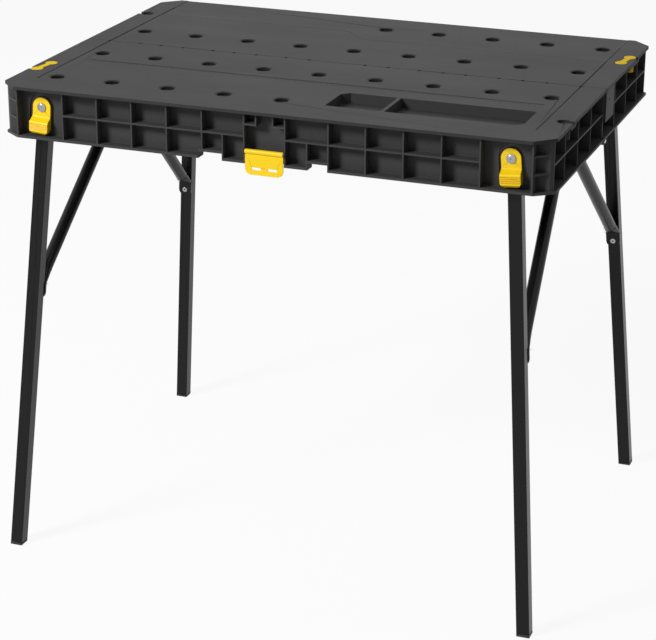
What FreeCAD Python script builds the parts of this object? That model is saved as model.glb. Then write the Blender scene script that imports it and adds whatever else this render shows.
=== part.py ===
"""A portable workbench whose two half tops close like a case over four folding legs.

Frame: millimetres, +Z up, origin on the floor under the middle of the worktop.
+X runs along the seam between the halves and -Y is the front. The rear half is
the front half turned half a turn about the vertical, apart from the tray.
"""
import FreeCAD, Part
import math
import os
import Sketcher

V = FreeCAD.Vector
doc = FreeCAD.newDocument("portable_workbench")

# Driving dimensions: alias, value in millimetres (or a plain ratio), what it is.
SIZES = [
    ("top_length", "850", "worktop, end to end"),
    ("top_depth", "614", "worktop, front to rear"),
    ("top_height", "747", "worktop above the floor"),
    ("apron_height", "80", "worktop to the rim of the apron"),
    ("corner_cut", "28", "slanted corner, along each edge"),
    ("deck_thickness", "5", "plate of the worktop"),
    ("seam_gap", "0.5", "slit between the half tops"),
    ("under_rib_depth", "12", "ribs under the plate"),
    ("under_rib_thickness", "2.5", "ribs under the plate"),
    ("dog_end_inset", "63.4", "outer dog holes from the end of the top"),
    ("dog_radius", "10.5", "dog hole"),
    ("dog_row_near", "78", "dog row beside the seam"),
    ("dog_row_inset", "75", "dog row beside the rim, from the edge of the top"),
    ("dog_rim_radius", "12.5", "sunk rim round a dog hole"),
    ("dog_rim_depth", "0.8", "sunk rim round a dog hole"),
    ("wall_recess", "24", "apron wall behind the edge of the top"),
    ("wall_thickness", "2.5", "apron wall"),
    ("rib_thickness", "2.5", "upright ribs of the apron"),
    ("rib_setback", "7", "ribs of the long apron behind the edge of the top"),
    ("end_rib_setback", "4", "ribs of the end apron behind the end of the top"),
    ("flange_thickness", "4", "rim flange of the apron"),
    ("mid_rib_drop", "38.2", "top to the level rib of the apron"),
    ("mid_rib_thickness", "2.8", "level rib of the apron"),
    ("rib_first", "97.2", "first upright rib from the middle"),
    ("rib_last_inset", "104.2", "last upright rib from the end of the top"),
    ("end_rib_inset", "86", "outer upright rib of the end from the edge of the top"),
    ("end_rib_pitch", "73.5", "upright ribs of the end"),
    ("centre_panel", "62.8", "width of the middle panel"),
    ("notch_inner", "65", "rib at the hand notch, from the middle"),
    ("notch_left", "103", "left hand notch, edge further out"),
    ("notch_height", "10.5", "hand notch above the rim"),
    ("stiffener_offset", "13", "short bent ribs of the middle panel"),
    ("stiffener_height", "18", "short bent ribs of the middle panel"),
    ("corner_rib_step", "26", "level ribs of the corner, spacing"),
    ("tray_left", "69", "tray, left edge of the small compartment"),
    ("tray_split", "156", "tray, middle of the divider"),
    ("tray_end_inset", "63", "tray, right edge from the end of the top"),
    ("tray_front_inset", "70", "tray, front edge from the edge of the top"),
    ("tray_width", "77", "tray, front to rear"),
    ("tray_divider", "6", "tray divider"),
    ("tray_depth", "14", "tray"),
    ("tray_slope", "12", "draft of the tray walls in degrees"),
    ("tray_corner", "12", "slanted tray corner"),
    ("tray_skin", "3", "wall and floor of the tray"),
    ("ruler_inset", "63", "ruler groove from the end of the top"),
    ("ruler_width", "1.6", "ruler groove"),
    ("ruler_depth", "0.8", "ruler groove"),
    ("border_inset", "39", "border groove from the end of the top"),
    ("border_front_inset", "57", "end of the border groove from the edge of the top"),
    ("border_width", "2.4", "border groove"),
    ("border_depth", "1.2", "border groove"),
    ("panel_step_depth", "0.6", "sunk field at the rear of the top"),
    ("seam_mark_radius", "2.6", "shallow marks along the seam"),
    ("seam_mark_depth", "2", "shallow marks along the seam"),
    ("pin_radius", "3", "hinge pin of the halves"),
    ("pin_drop", "0.3", "hinge pin below the rim"),
    ("pin_reach", "2", "hinge pin beyond the end of the top"),
    ("running_gap", "0.06", "radial clearance of a pin or axle"),
    ("knuckle_radius", "6", "hinge knuckle"),
    ("knuckle_length", "40", "hinge knuckle"),
    ("knuckle_inset", "100", "last hinge knuckle from the end of the top"),
    ("knuckle_gap", "0.5", "room round the other half's knuckle"),
    ("leg_latch_step", "1.9", "latch screw beyond the leg's line, at the height of the top"),
    ("leg_wall_gap", "6.7", "apron wall to the leg's side, at the height of the top"),
    ("splay_x_share", "0.0781", "leg's lean along the bench per unit up"),
    ("splay_y_share", "0.0786", "leg's lean across per unit up"),
    ("leg_width", "20", "square leg tube"),
    ("leg_wall", "1.2", "square leg tube"),
    ("leg_head", "11", "leg tube beyond its axle"),
    ("cap_slack", "0.2", "plug of the foot cap clear of the tube's bore"),
    ("cap_height", "16", "foot cap"),
    ("cap_floor", "4", "foot cap under the tube"),
    ("axle_drop", "4.5", "axle of a half's upper leg below the latch screws"),
    ("layer_step", "17.5", "axle of a half's lower leg below that of the upper leg"),
    ("high_offset", "4.3", "upper leg's middle inboard of its axle"),
    ("low_offset", "0", "lower leg's middle inboard of its axle"),
    ("axle_radius", "4", "leg axle"),
    ("axle_end", "12", "inner end of the axle from the seam"),
    ("bracket_thickness", "1.3", "steel axle plate"),
    ("bracket_width", "46", "steel axle plate"),
    ("saddle_width", "24", "inner axle saddle"),
    ("saddle_reach", "34", "inner axle saddle from the seam"),
    ("saddle_below", "7", "inner axle saddle under its axle"),
    ("saddle_above", "9", "inner axle saddle over its axle"),
    ("rivet_drop", "329.4", "brace rivet below the top"),
    ("rivet_radius", "2", "brace rivet shank"),
    ("rivet_head_radius", "4.2", "brace rivet head"),
    ("rivet_head", "1.2", "brace rivet head"),
    ("rivet_bore", "1.3", "brace rivet bore"),
    ("rivet_flare_share", "1.5", "flared inner end of the rivet, of its shank"),
    ("brace_radius", "9.8", "brace tube"),
    ("brace_wall", "1.2", "brace tube"),
    ("brace_top", "40", "upper end of the brace from the seam"),
    ("brace_top_drop", "12", "upper bend of the brace below the rim"),
    ("brace_bend", "14", "rivet to the lower bend of the brace"),
    ("brace_flare", "26", "flattened end to round tube"),
    ("tab_width", "23", "flattened end of the brace"),
    ("tab_thickness", "4.4", "flattened end of the brace"),
    ("tab_edge", "1.2", "rounding of the flattened section"),
    ("tab_tail", "9", "tab below the rivet"),
    ("latch_inset", "63.6", "leg latch screw from the end of the top"),
    ("latch_rise", "46.5", "leg latch screw above the rim"),
    ("latch_radius", "14.7", "rounded head of the latch"),
    ("latch_plate", "3.2", "latch plate thickness"),
    ("latch_seat_gap", "0.3", "latch plate off the wall"),
    ("latch_step", "10", "grip stands out from the plate"),
    ("latch_neck", "13.5", "screw to the upper edge of the step"),
    ("latch_slope", "9", "height of the step"),
    ("latch_foot_gap", "2.4", "foot of the latch above the rim flange"),
    ("latch_grip_width", "30.8", "grip of the latch"),
    ("latch_corner", "7", "foot corners of the latch"),
    ("latch_ease_share", "0.3", "middle of a foot corner, of its length"),
    ("latch_chin", "4", "slanted lower front of the grip"),
    ("latch_hole", "2.9", "hole for the latch screw"),
    ("nose_width", "12", "latch nose"),
    ("nose_height", "7.5", "latch nose"),
    ("nose_reach", "3.3", "latch nose beyond its plate"),
    ("nose_gap", "1", "latch nose below the axle plate"),
    ("groove_width", "1.2", "finger grooves of the grip"),
    ("groove_depth", "0.8", "finger grooves of the grip"),
    ("groove_pitch", "2.8", "finger grooves of the grip"),
    ("window_radius", "19.8", "arched opening round the latch"),
    ("window_shift", "1", "arched opening further out than the latch"),
    ("sill_lap", "2", "sill of the opening over the foot of the axle plate"),
    ("sill_recess", "1.2", "sill behind the face of the apron wall"),
    ("nose_side_gap", "1", "room beside the latch nose in the sill"),
    ("screw_radius", "2", "latch screw shank"),
    ("screw_head_radius", "7", "latch screw head"),
    ("screw_head", "1.6", "latch screw head"),
    ("screw_gap", "0.9", "latch screw head off the plate"),
    ("screw_tail", "1.4", "latch screw beyond the axle plate"),
    ("drive_width", "1.6", "cross in the screw head"),
    ("drive_length", "6", "cross in the screw head"),
    ("leaf_length", "10", "bowed leaf spring of the latch"),
    ("leaf_width", "8", "bowed leaf spring of the latch"),
    ("leaf_thickness", "0.4", "bowed leaf spring of the latch"),
    ("leaf_foot", "1", "flat ends of the leaf spring"),
    ("leaf_crown", "2.4", "flat middle of the leaf spring"),
    ("leaf_rise", "8.4", "leaf spring above the screw"),
    ("leaf_gap", "0.1", "leaf spring off the latch and plate"),
    ("hasp_width", "59", "hasp plate"),
    ("hasp_drop", "34.5", "hasp pin to the foot of the plate"),
    ("hasp_thickness", "1.5", "hasp plate"),
    ("hasp_roll", "3.6", "rolled edge of the hasp"),
    ("hasp_pin_radius", "1.5", "hasp pin"),
    ("hasp_pin_rise", "19", "hasp pin above the rim"),
    ("hasp_pin_inset", "7.2", "hasp pin behind the edge of the top"),
    ("hasp_lug", "4", "lugs of the ribs round the hasp pin"),
    ("hasp_corner", "8", "foot corners of the hasp"),
    ("hasp_ease_share", "0.3", "middle of a foot corner, of its length"),
    ("hasp_slot_width", "14.5", "hasp slots"),
    ("hasp_slot_height", "4", "hasp slots"),
    ("hasp_slot_offset", "12.4", "hasp slots from the middle"),
    ("hasp_slot_drop", "25.3", "hasp slots below the pin"),
    ("keeper_width", "50", "hasp keeper plate"),
    ("keeper_height", "16", "hasp keeper plate"),
    ("keeper_plate", "2.5", "hasp keeper plate"),
    ("keeper_peg_width", "12", "hasp keeper pegs"),
    ("keeper_peg_height", "3", "hasp keeper pegs"),
    ("keeper_peg_tip", "4", "peg end behind the edge of the top"),
    ("link_outer_inset", "11.5", "outer lobe of the link from the end"),
    ("link_inner_inset", "16.5", "inner lobe of the link from the end"),
    ("link_outer_side", "109.5", "outer lobe of the link from the edge of the top"),
    ("link_inner_side", "147", "inner lobe of the link from the edge of the top"),
    ("link_radius", "9.5", "lobes of the link"),
    ("link_neck", "10", "neck of the link"),
    ("link_plate", "4", "head of the link"),
    ("link_gap", "0.5", "room round the link"),
    ("link_seat_gap", "0.2", "room under the head of the link"),
    ("peg_radius", "6", "pegs of the link"),
    ("peg_length", "19", "pegs of the link"),
    ("peg_gap", "0.4", "room round the pegs"),
    ("pad_thickness", "4", "thicker plate under the link and socket"),
    ("pad_margin", "5", "thicker plate beyond the lobes"),
    ("socket_inset", "14", "link socket from the end"),
    ("socket_side", "112", "link socket from the edge of the top"),
    ("socket_wall", "3", "tube under the socket"),
    ("socket_depth", "20", "tube under the socket"),
    ("cover_width", "50", "flush plate at the end beside the seam"),
    ("cover_height", "52", "flush plate at the end beside the seam"),
    ("cover_hole", "1.8", "hole in the flush plate"),
    ("cover_hole_offset", "20", "hole in the flush plate, from the seam"),
    ("cover_hole_drop", "21", "hole in the flush plate, below the top"),
    ("overrun", "2", "how far a cutting tool runs past"),
]

# Places along half the top where marks lie on the seam, as shares of the half length.
SEAM_MARK_SHARES = (0.108, 0.197, 0.315, 0.403, 0.488, 0.610, 0.698, 0.784, 0.908)
# The sunk rear field's stepped edge: its bends as shares of half the length and of half the depth.
FIELD_BEND_SHARES = ((-0.13, 0.65), (-0.03, 0.51))
DOG_COLUMNS = 9
FAR_ROW_COLUMNS = 5
KNUCKLES_EACH_SIDE = 3
END_RIBS = 3
LONG_RIBS = 5
GRIP_GROOVES = 4
STEP_FACETS = 8
CORNER_RIBS = 2
# Corner of a round section as a share of its radius, so that it keeps its eight edges.
ROUND_SHARE = 0.999

sheet = doc.addObject("Spreadsheet::Sheet", "Sizes")
for row, (alias, value, note) in enumerate(SIZES, start=1):
    sheet.set("A%d" % row, alias)
    sheet.set("B%d" % row, value)
    sheet.set("C%d" % row, note)
    sheet.setAlias("B%d" % row, alias)
doc.recompute()


class Size:
    """A size that carries its value and the sheet expression that gives it."""

    def __init__(self, value, text):
        self.value = value
        self.text = text

    def __add__(self, other):
        return Size(self.value + number(other), "(%s + %s)" % (self.text, words(other)))

    def __radd__(self, other):
        return Size(number(other) + self.value, "(%s + %s)" % (words(other), self.text))

    def __sub__(self, other):
        return Size(self.value - number(other), "(%s - %s)" % (self.text, words(other)))

    def __rsub__(self, other):
        return Size(number(other) - self.value, "(%s - %s)" % (words(other), self.text))

    def __mul__(self, other):
        return Size(self.value * number(other), "(%s * %s)" % (self.text, words(other)))

    def __rmul__(self, other):
        return Size(number(other) * self.value, "(%s * %s)" % (words(other), self.text))

    def __truediv__(self, other):
        return Size(self.value / number(other), "(%s / %s)" % (self.text, words(other)))

    def __neg__(self):
        return Size(-self.value, "(0 - %s)" % self.text)


def number(size):
    """The plain value of a size or number."""
    return size.value if isinstance(size, Size) else float(size)


def words(size):
    """The expression text of a size or number."""
    return size.text if isinstance(size, Size) else repr(float(size))


def root(size):
    """The square root of a size."""
    return Size(math.sqrt(number(size)), "sqrt(%s)" % words(size))


class Sheet:
    """The sheet's cells as sizes, one attribute for each alias."""

    def __init__(self):
        for alias, value, note in SIZES:
            setattr(self, alias, Size(float(sheet.get(alias)), "Sizes." + alias))


s = Sheet()

# Places that several pieces share.
half_length = s.top_length / 2
half_depth = s.top_depth / 2
rim_height = s.top_height - s.apron_height
plate_under = s.top_height - s.deck_thickness
seam_edge = s.seam_gap / 2
rib_under = plate_under - s.under_rib_depth
wall_outer = half_depth - s.wall_recess
wall_inner = wall_outer - s.wall_thickness
end_outer = half_length - s.wall_recess
end_inner = end_outer - s.wall_thickness
corner_x = half_length - s.corner_cut
corner_y = half_depth - s.corner_cut
flange_top = rim_height + s.flange_thickness
mid_rib_top = s.top_height - s.mid_rib_drop
pin_height = rim_height - s.pin_drop
latch_height = rim_height + s.latch_rise
latch_x = half_length - s.latch_inset
latch_foot = flange_top + s.latch_foot_gap
rib_front = half_depth - s.rib_setback
end_rib_x = half_length - s.end_rib_setback
seam_wall_inner = seam_edge + s.wall_thickness
bracket_inner = wall_inner - s.bracket_thickness
bracket_foot = latch_foot + s.nose_height + s.nose_gap
high_axle = latch_height - s.axle_drop
low_axle = high_axle - s.layer_step
foot_x = latch_x - s.leg_latch_step + s.splay_x_share * s.top_height
foot_y = wall_inner - s.leg_wall_gap - s.leg_width / 2 + s.splay_y_share * s.top_height
dog_pitch = (half_length - s.dog_end_inset) / ((DOG_COLUMNS - 1) / 2)
dog_row_far = half_depth - s.dog_row_inset
tray_right = half_length - s.tray_end_inset
tray_front = half_depth - s.tray_front_inset
tray_rear = tray_front - s.tray_width
ruler_row = (s.dog_row_near + tray_rear) / 2
link_outer_y = half_depth - s.link_outer_side
link_inner_y = half_depth - s.link_inner_side
socket_x = half_length - s.socket_inset
socket_y = half_depth - s.socket_side
pads = {
    -1: ((-half_length, s.wall_recess - half_length),
         (-link_outer_y - s.link_radius - s.pad_margin, -link_inner_y + s.link_radius + s.pad_margin)),
    1: ((half_length - s.wall_recess, half_length),
        (-socket_y - s.link_radius - s.pad_margin, -socket_y + s.link_radius + s.pad_margin)),
}
pad_level = (plate_under - s.pad_thickness, plate_under)

# Directions of a splayed leg.
lean_across = root(s.splay_y_share * s.splay_y_share + 1)
lean_full = root(s.splay_x_share * s.splay_x_share + s.splay_y_share * s.splay_y_share + 1)

HALF_TURN = FreeCAD.Placement(V(0, 0, 0), FreeCAD.Rotation(V(0, 0, 1), 180))
PLANES = {
    "XY": (FreeCAD.Rotation(V(0, 0, 1), 0), V(0, 0, 1), "z"),
    "XZ": (FreeCAD.Rotation(V(1, 0, 0), 90), V(0, 1, 0), "y"),
    "YZ": (FreeCAD.Rotation(V(1, 1, 1), 120), V(1, 0, 0), "x"),
}
TURNS = {
    "x": FreeCAD.Rotation(V(0, 1, 0), 90),
    "y": FreeCAD.Rotation(V(1, 0, 0), -90),
    "z": FreeCAD.Rotation(V(0, 0, 1), 0),
}
nodes = []


def bind(thing, **sizes):
    """Binds properties to sheet expressions; an underscore stands for a dot."""
    for name, size in sizes.items():
        prop = name.replace("_", ".")
        if isinstance(size, Size):
            thing.setExpression(prop, size.text)


def seat(thing, x, y, z):
    """Binds the place of a thing, whose turn is set already."""
    base = V(number(x), number(y), number(z))
    thing.Placement = FreeCAD.Placement(base, thing.Placement.Rotation)
    bind(thing, Placement_Base_x=x, Placement_Base_y=y, Placement_Base_z=z)
    return thing


def box(x, y, z):
    """A box between pairs of low and high sizes."""
    thing = doc.addObject("Part::Box", "box")
    bind(thing, Length=x[1] - x[0], Width=y[1] - y[0], Height=z[1] - z[0])
    return seat(thing, x[0], y[0], z[0])


def rod(axis, radius, low, high, across, up):
    """A round rod along one axis; across and up place it on the other two."""
    thing = doc.addObject("Part::Cylinder", "rod")
    thing.Placement = FreeCAD.Placement(V(0, 0, 0), TURNS[axis])
    bind(thing, Radius=radius, Height=high - low)
    places = {"x": (low, across, up), "y": (across, low, up), "z": (across, up, low)}
    return seat(thing, *places[axis])


def prism(plane, outline, low, high):
    """A straight-sided solid on a sketched outline."""
    turn, along, axis = PLANES[plane]
    sketch = doc.addObject("Sketcher::SketchObject", "outline")
    sketch.Placement = FreeCAD.Placement(V(0, 0, 0), turn)
    count = len(outline)
    for index in range(count):
        first, second = outline[index], outline[(index + 1) % count]
        ends = [V(number(p[0]), number(p[1]), 0) for p in (first, second)]
        sketch.addGeometry(Part.LineSegment(*ends), False)
    for index in range(count):
        sketch.addConstraint(Sketcher.Constraint("Coincident", index, 2, (index + 1) % count, 1))
    for index, point in enumerate(outline):
        for kind, size in zip(("DistanceX", "DistanceY"), point):
            held = Sketcher.Constraint(kind, -1, 1, index, 1, number(size))
            place = sketch.addConstraint(held)
            if isinstance(size, Size):
                sketch.setExpression("Constraints[%d]" % place, size.text)
    thing = doc.addObject("Part::Extrusion", "prism")
    thing.Base = sketch
    thing.DirMode = "Custom"
    thing.Dir = along
    thing.Solid = True
    bind(thing, LengthFwd=high - low)
    places = {"x": (low, 0, 0), "y": (0, low, 0), "z": (0, 0, low)}
    return seat(thing, *places[axis])


def fuse(*things):
    """Joins things into one."""
    if len(things) == 1:
        return things[0]
    thing = doc.addObject("Part::MultiFuse", "joined")
    thing.Shapes = list(things)
    thing.Refine = True
    return thing


def cut(base, *tools):
    """Takes tools away from a base."""
    thing = doc.addObject("Part::Cut", "cut")
    thing.Base = base
    thing.Tool = fuse(*tools)
    thing.Refine = True
    return thing


def common(first, second):
    """Keeps what two things share."""
    thing = doc.addObject("Part::Common", "shared")
    thing.Base = first
    thing.Tool = second
    return thing


def group(*things):
    """Holds separate solids in one node."""
    thing = doc.addObject("Part::Compound", "group")
    thing.Links = list(things)
    return thing


def placed(thing, place):
    """Moves a thing as a whole."""
    thing.Placement = place.multiply(thing.Placement)
    return thing


def node(label, thing, place=None):
    """Names a finished sub-part and sets its place."""
    thing.Label = label
    if place is not None:
        thing.Placement = place
    nodes.append(thing)
    return thing


def around(middle, width):
    """A pair of sizes round a middle."""
    return (middle - width / 2, middle + width / 2)


def leaned(thing, side):
    """Turns a thing about a latch screw to the lean of the legs."""
    pivot = V(number(latch_x) * side, 0, number(latch_height))
    lean = math.degrees(math.atan(number(s.splay_x_share))) * -side
    turn = FreeCAD.Rotation(V(0, 1, 0), lean)
    return placed(group(thing), FreeCAD.Placement(V(0, 0, 0), turn, pivot))


def dog_holes():
    """Tools for the dog holes of one half, with their sunk rims, in the front half's place."""
    tools = []
    middle = (DOG_COLUMNS - 1) / 2
    near = [(column - middle) for column in range(DOG_COLUMNS)]
    far = near[:FAR_ROW_COLUMNS]
    for row, columns in ((s.dog_row_near, near), (dog_row_far, far)):
        for column in columns:
            x = dog_pitch * column
            low, high = rib_under - s.overrun, s.top_height + s.overrun
            tools.append(rod("z", s.dog_radius, low, high, x, -row))
            low = s.top_height - s.dog_rim_depth
            tools.append(rod("z", s.dog_rim_radius, low, high, x, -row))
    return tools


def tray_pocket(left, right, slants):
    """A draughted tray pocket; slants names the corners that are cut off."""
    front, rear = -tray_front, -tray_rear
    slant = s.tray_corner
    outline = [(left, front)]
    if "front" in slants:
        outline += [(right - slant, front), (right, front + slant)]
    else:
        outline += [(right, front)]
    outline += [(right, rear)]
    if "rear" in slants:
        outline += [(left + slant, rear), (left, rear - slant)]
    else:
        outline += [(left, rear)]
    thing = prism("XY", outline, s.top_height - s.tray_depth, s.top_height)
    # The pocket is drawn at the top and narrows on its way down.
    thing.Dir = V(0, 0, -1)
    bind(thing, TaperAngle=-s.tray_slope)
    return seat(thing, 0, 0, s.top_height)


def lobes(radius, neck, low, high):
    """The dog-bone outline of a link, solid between two levels, at the front left."""
    outer = (s.link_outer_inset - half_length, -link_outer_y)
    inner = (s.link_inner_inset - half_length, -link_inner_y)
    outline = [
        (outer[0] - neck / 2, outer[1]), (outer[0] + neck / 2, outer[1]),
        (inner[0] + neck / 2, inner[1]), (inner[0] - neck / 2, inner[1]),
    ]
    ends = [rod("z", radius, low, high, x, y) for x, y in (outer, inner)]
    return fuse(prism("XY", outline, low, high), *ends)


def link_pegs(radius, low, high):
    """The two round pegs of a link, or the holes for them."""
    outer = (s.link_outer_inset - half_length, -link_outer_y)
    inner = (s.link_inner_inset - half_length, -link_inner_y)
    return [rod("z", radius, low, high, x, y) for x, y in (outer, inner)]


def deck(front):
    """The plate of one half top with its ribs, holes, tray or sunk field, and link places."""
    outline = [
        (-half_length, -corner_y), (-corner_x, -half_depth), (corner_x, -half_depth),
        (half_length, -corner_y), (half_length, -seam_edge), (-half_length, -seam_edge),
    ]
    solids = [prism("XY", outline, plate_under, s.top_height)]
    under = (rib_under, plate_under)
    for step in range(DOG_COLUMNS - 1):
        x = dog_pitch * (step - (DOG_COLUMNS - 2) / 2)
        solids.append(box(around(x, s.under_rib_thickness), (-wall_inner, -seam_wall_inner), under))
    middle = (s.dog_row_near + dog_row_far) / -2
    solids.append(box((-end_inner, end_inner), around(middle, s.under_rib_thickness), under))
    solids += [box(along, across, pad_level) for along, across in pads.values()]
    tube_low = plate_under - s.socket_depth
    solids.append(rod("z", s.peg_radius + s.socket_wall, tube_low, plate_under, socket_x, -socket_y))
    if front:
        skin = s.tray_skin
        tray_z = (s.top_height - s.tray_depth - skin, plate_under)
        tray_y = (-tray_front - skin, -tray_rear + skin)
        solids.append(box((s.tray_left - skin, tray_right + skin), tray_y, tray_z))
    body = fuse(*solids)

    above = s.top_height + s.overrun
    recess = s.top_height - s.link_plate - s.link_seat_gap
    tools = dog_holes()
    tools.append(lobes(s.link_radius + s.link_gap, s.link_neck + s.link_gap * 2, recess, above))
    tools += link_pegs(s.peg_radius + s.peg_gap, tube_low, above)
    notch = (-half_length - s.overrun, s.link_outer_inset - half_length)
    tools.append(box(notch, around(-link_outer_y, s.link_neck), (recess, above)))
    tools.append(rod("z", s.link_radius + s.link_gap, recess, above, socket_x, -socket_y))
    hole_low = tube_low - s.overrun
    tools.append(rod("z", s.peg_radius + s.peg_gap, hole_low, above, socket_x, -socket_y))
    mouth = (socket_x, half_length + s.overrun)
    tools.append(box(mouth, around(-socket_y, s.link_neck), (recess, above)))
    groove_z = (s.top_height - s.border_depth, above)
    groove_y = (s.border_front_inset - half_depth, -seam_edge + s.overrun)
    for side in (-1, 1):
        x = (half_length - s.border_inset) * side
        tools.append(box(around(x, s.border_width), groove_y, groove_z))
        for share in SEAM_MARK_SHARES:
            low = s.top_height - s.seam_mark_depth
            tools.append(rod("z", s.seam_mark_radius, low, above, half_length * share * side, 0))
    if front:
        ruler_z = (s.top_height - s.ruler_depth, above)
        ruler_x = (s.ruler_inset - half_length, half_length - s.ruler_inset)
        tools.append(box(ruler_x, around(-ruler_row, s.ruler_width), ruler_z))
        small_right = s.tray_split - s.tray_divider / 2
        large_left = s.tray_split + s.tray_divider / 2
        tools.append(tray_pocket(s.tray_left, small_right, ("rear",)))
        tools.append(tray_pocket(large_left, tray_right, ("front",)))
    else:
        # The rear half is built in the front half's place, so its field is turned as well.
        side = half_length - s.border_inset
        bends = [(half_length * -x, half_depth * -y) for x, y in FIELD_BEND_SHARES]
        beyond = -half_depth - s.overrun
        outline = [(side, beyond), (side, bends[0][1])] + bends
        outline += [(-side, bends[-1][1]), (-side, beyond)]
        tools.append(prism("XY", outline, s.top_height - s.panel_step_depth, above))
    return cut(body, *tools)


def latch_windows():
    """Arched openings of a long apron, one for each latch, over a sill that the latch nose passes."""
    through = (-wall_outer - s.overrun, -wall_inner + s.overrun)
    shallow = (-wall_outer - s.overrun, -wall_outer + s.sill_recess)
    sill = bracket_foot + s.sill_lap
    tools = []
    for side in (-1, 1):
        x = latch_x * side
        arch = x + s.window_shift * side
        wide = around(arch, s.window_radius * 2)
        nose = around(x, s.nose_width + s.nose_side_gap * 2)
        tools.append(leaned(rod("y", s.window_radius, *through, arch, latch_height), side))
        tools.append(leaned(box(wide, through, (sill, latch_height)), side))
        lower = fuse(box(wide, shallow, (rim_height, sill)), box(nose, through, (rim_height, sill)))
        above_flange = box(around(x, s.bracket_width * 2), through, (flange_top, latch_height))
        tools.append(common(leaned(lower, side), above_flange))
    return tools


def long_apron(front):
    """The ribbed apron along the front edge."""
    outer, wall = -rib_front, -wall_outer
    upright = (flange_top, plate_under)
    across = (outer, wall)
    solids = [box((-corner_x, corner_x), (wall, -wall_inner), (rim_height, plate_under))]
    solids.append(box((-corner_x, corner_x), across, (rim_height, flange_top)))
    level = (mid_rib_top - s.mid_rib_thickness, mid_rib_top)
    last = half_length - s.rib_last_inset
    pitch = (last - s.rib_first) / (LONG_RIBS - 1)
    half_panel = s.centre_panel / 2
    notch = s.notch_inner + s.rib_thickness / 2
    notches = {-1: (-s.notch_left, -notch), 1: (notch, s.rib_first - s.rib_thickness / 2)}
    for side in (-1, 1):
        places = [half_panel] + [s.rib_first + pitch * step for step in range(LONG_RIBS - 1)]
        places += [last, corner_x - s.rib_thickness / 2]
        for place in places:
            solids.append(box(around(place * side, s.rib_thickness), across, upright))
        ends = (half_panel, last) if side > 0 else (-last, -half_panel)
        solids.append(box(ends, across, level))
        x = s.notch_inner * side
        low = (flange_top, level[0])
        solids.append(box(around(x, s.rib_thickness), across, low))
        roof = (rim_height + s.notch_height, rim_height + s.notch_height + s.flange_thickness)
        solids.append(box(notches[side], across, roof))
        foot = plate_under - s.stiffener_height
        x = s.stiffener_offset * side
        solids.append(box(around(x, s.rib_thickness), across, (foot, plate_under)))
        ends = (s.stiffener_offset, half_panel) if side > 0 else (-half_panel, -s.stiffener_offset)
        solids.append(box(ends, across, (foot, foot + s.mid_rib_thickness)))
    body = fuse(*solids)

    tools = latch_windows()
    clear = (outer - s.overrun, wall)
    inside = half_panel - s.rib_thickness / 2
    tools.append(box((-inside, inside), clear, (rim_height - s.overrun, flange_top)))
    for side in (-1, 1):
        through = (outer - s.overrun, -wall_inner + s.overrun)
        tools.append(box(notches[side], through, (rim_height - s.overrun, rim_height + s.notch_height)))
    if front:
        pin_y = -half_depth + s.hasp_pin_inset
        pin_z = rim_height + s.hasp_pin_rise
        reach = half_panel + s.rib_thickness / 2
        lugs = [rod("x", s.hasp_lug, *around(half_panel * side, s.rib_thickness), pin_y, pin_z)
                for side in (-1, 1)]
        body = fuse(body, *lugs)
        hole = s.hasp_pin_radius + s.running_gap
        tools.append(rod("x", hole, -reach, reach, pin_y, pin_z))
    return cut(body, *tools)


def knuckle(middle, length):
    """A hinge knuckle of the front half and the neck that carries it."""
    ends = around(middle, length)
    barrel = rod("x", s.knuckle_radius, ends[0], ends[1], 0, pin_height)
    neck = box(ends, (-s.knuckle_radius, -seam_edge), (pin_height, flange_top))
    return [barrel, neck]


def knuckle_room(middle, length):
    """The room that the other half's knuckle turns in."""
    ends = around(middle, length + s.knuckle_gap * 2)
    return rod("x", s.knuckle_radius + s.knuckle_gap, ends[0], ends[1], 0, pin_height)


def knuckle_places():
    """Middles of the knuckles: those of the front half, and those of the rear half."""
    own, other = [], []
    middle = (KNUCKLES_EACH_SIDE * 2 - 1) / 2
    for step in range(KNUCKLES_EACH_SIDE * 2):
        place = (half_length - s.knuckle_inset) * ((step - middle) / middle)
        (other if step % 2 else own).append(place)
    return own, other


def pin_hole():
    """The bore that the hinge pin runs in."""
    reach = half_length + s.overrun
    return rod("x", s.pin_radius + s.running_gap, -reach, reach, 0, pin_height)


def seam_wall():
    """The wall along the seam with its knuckles."""
    own, other = knuckle_places()
    wall = box((-end_inner, end_inner), (-seam_wall_inner, -seam_edge), (rim_height, plate_under))
    solids = [wall]
    for place in own:
        solids += knuckle(place, s.knuckle_length)
    tools = [knuckle_room(place, s.knuckle_length) for place in other]
    return cut(fuse(*solids), pin_hole(), *tools)


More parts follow.
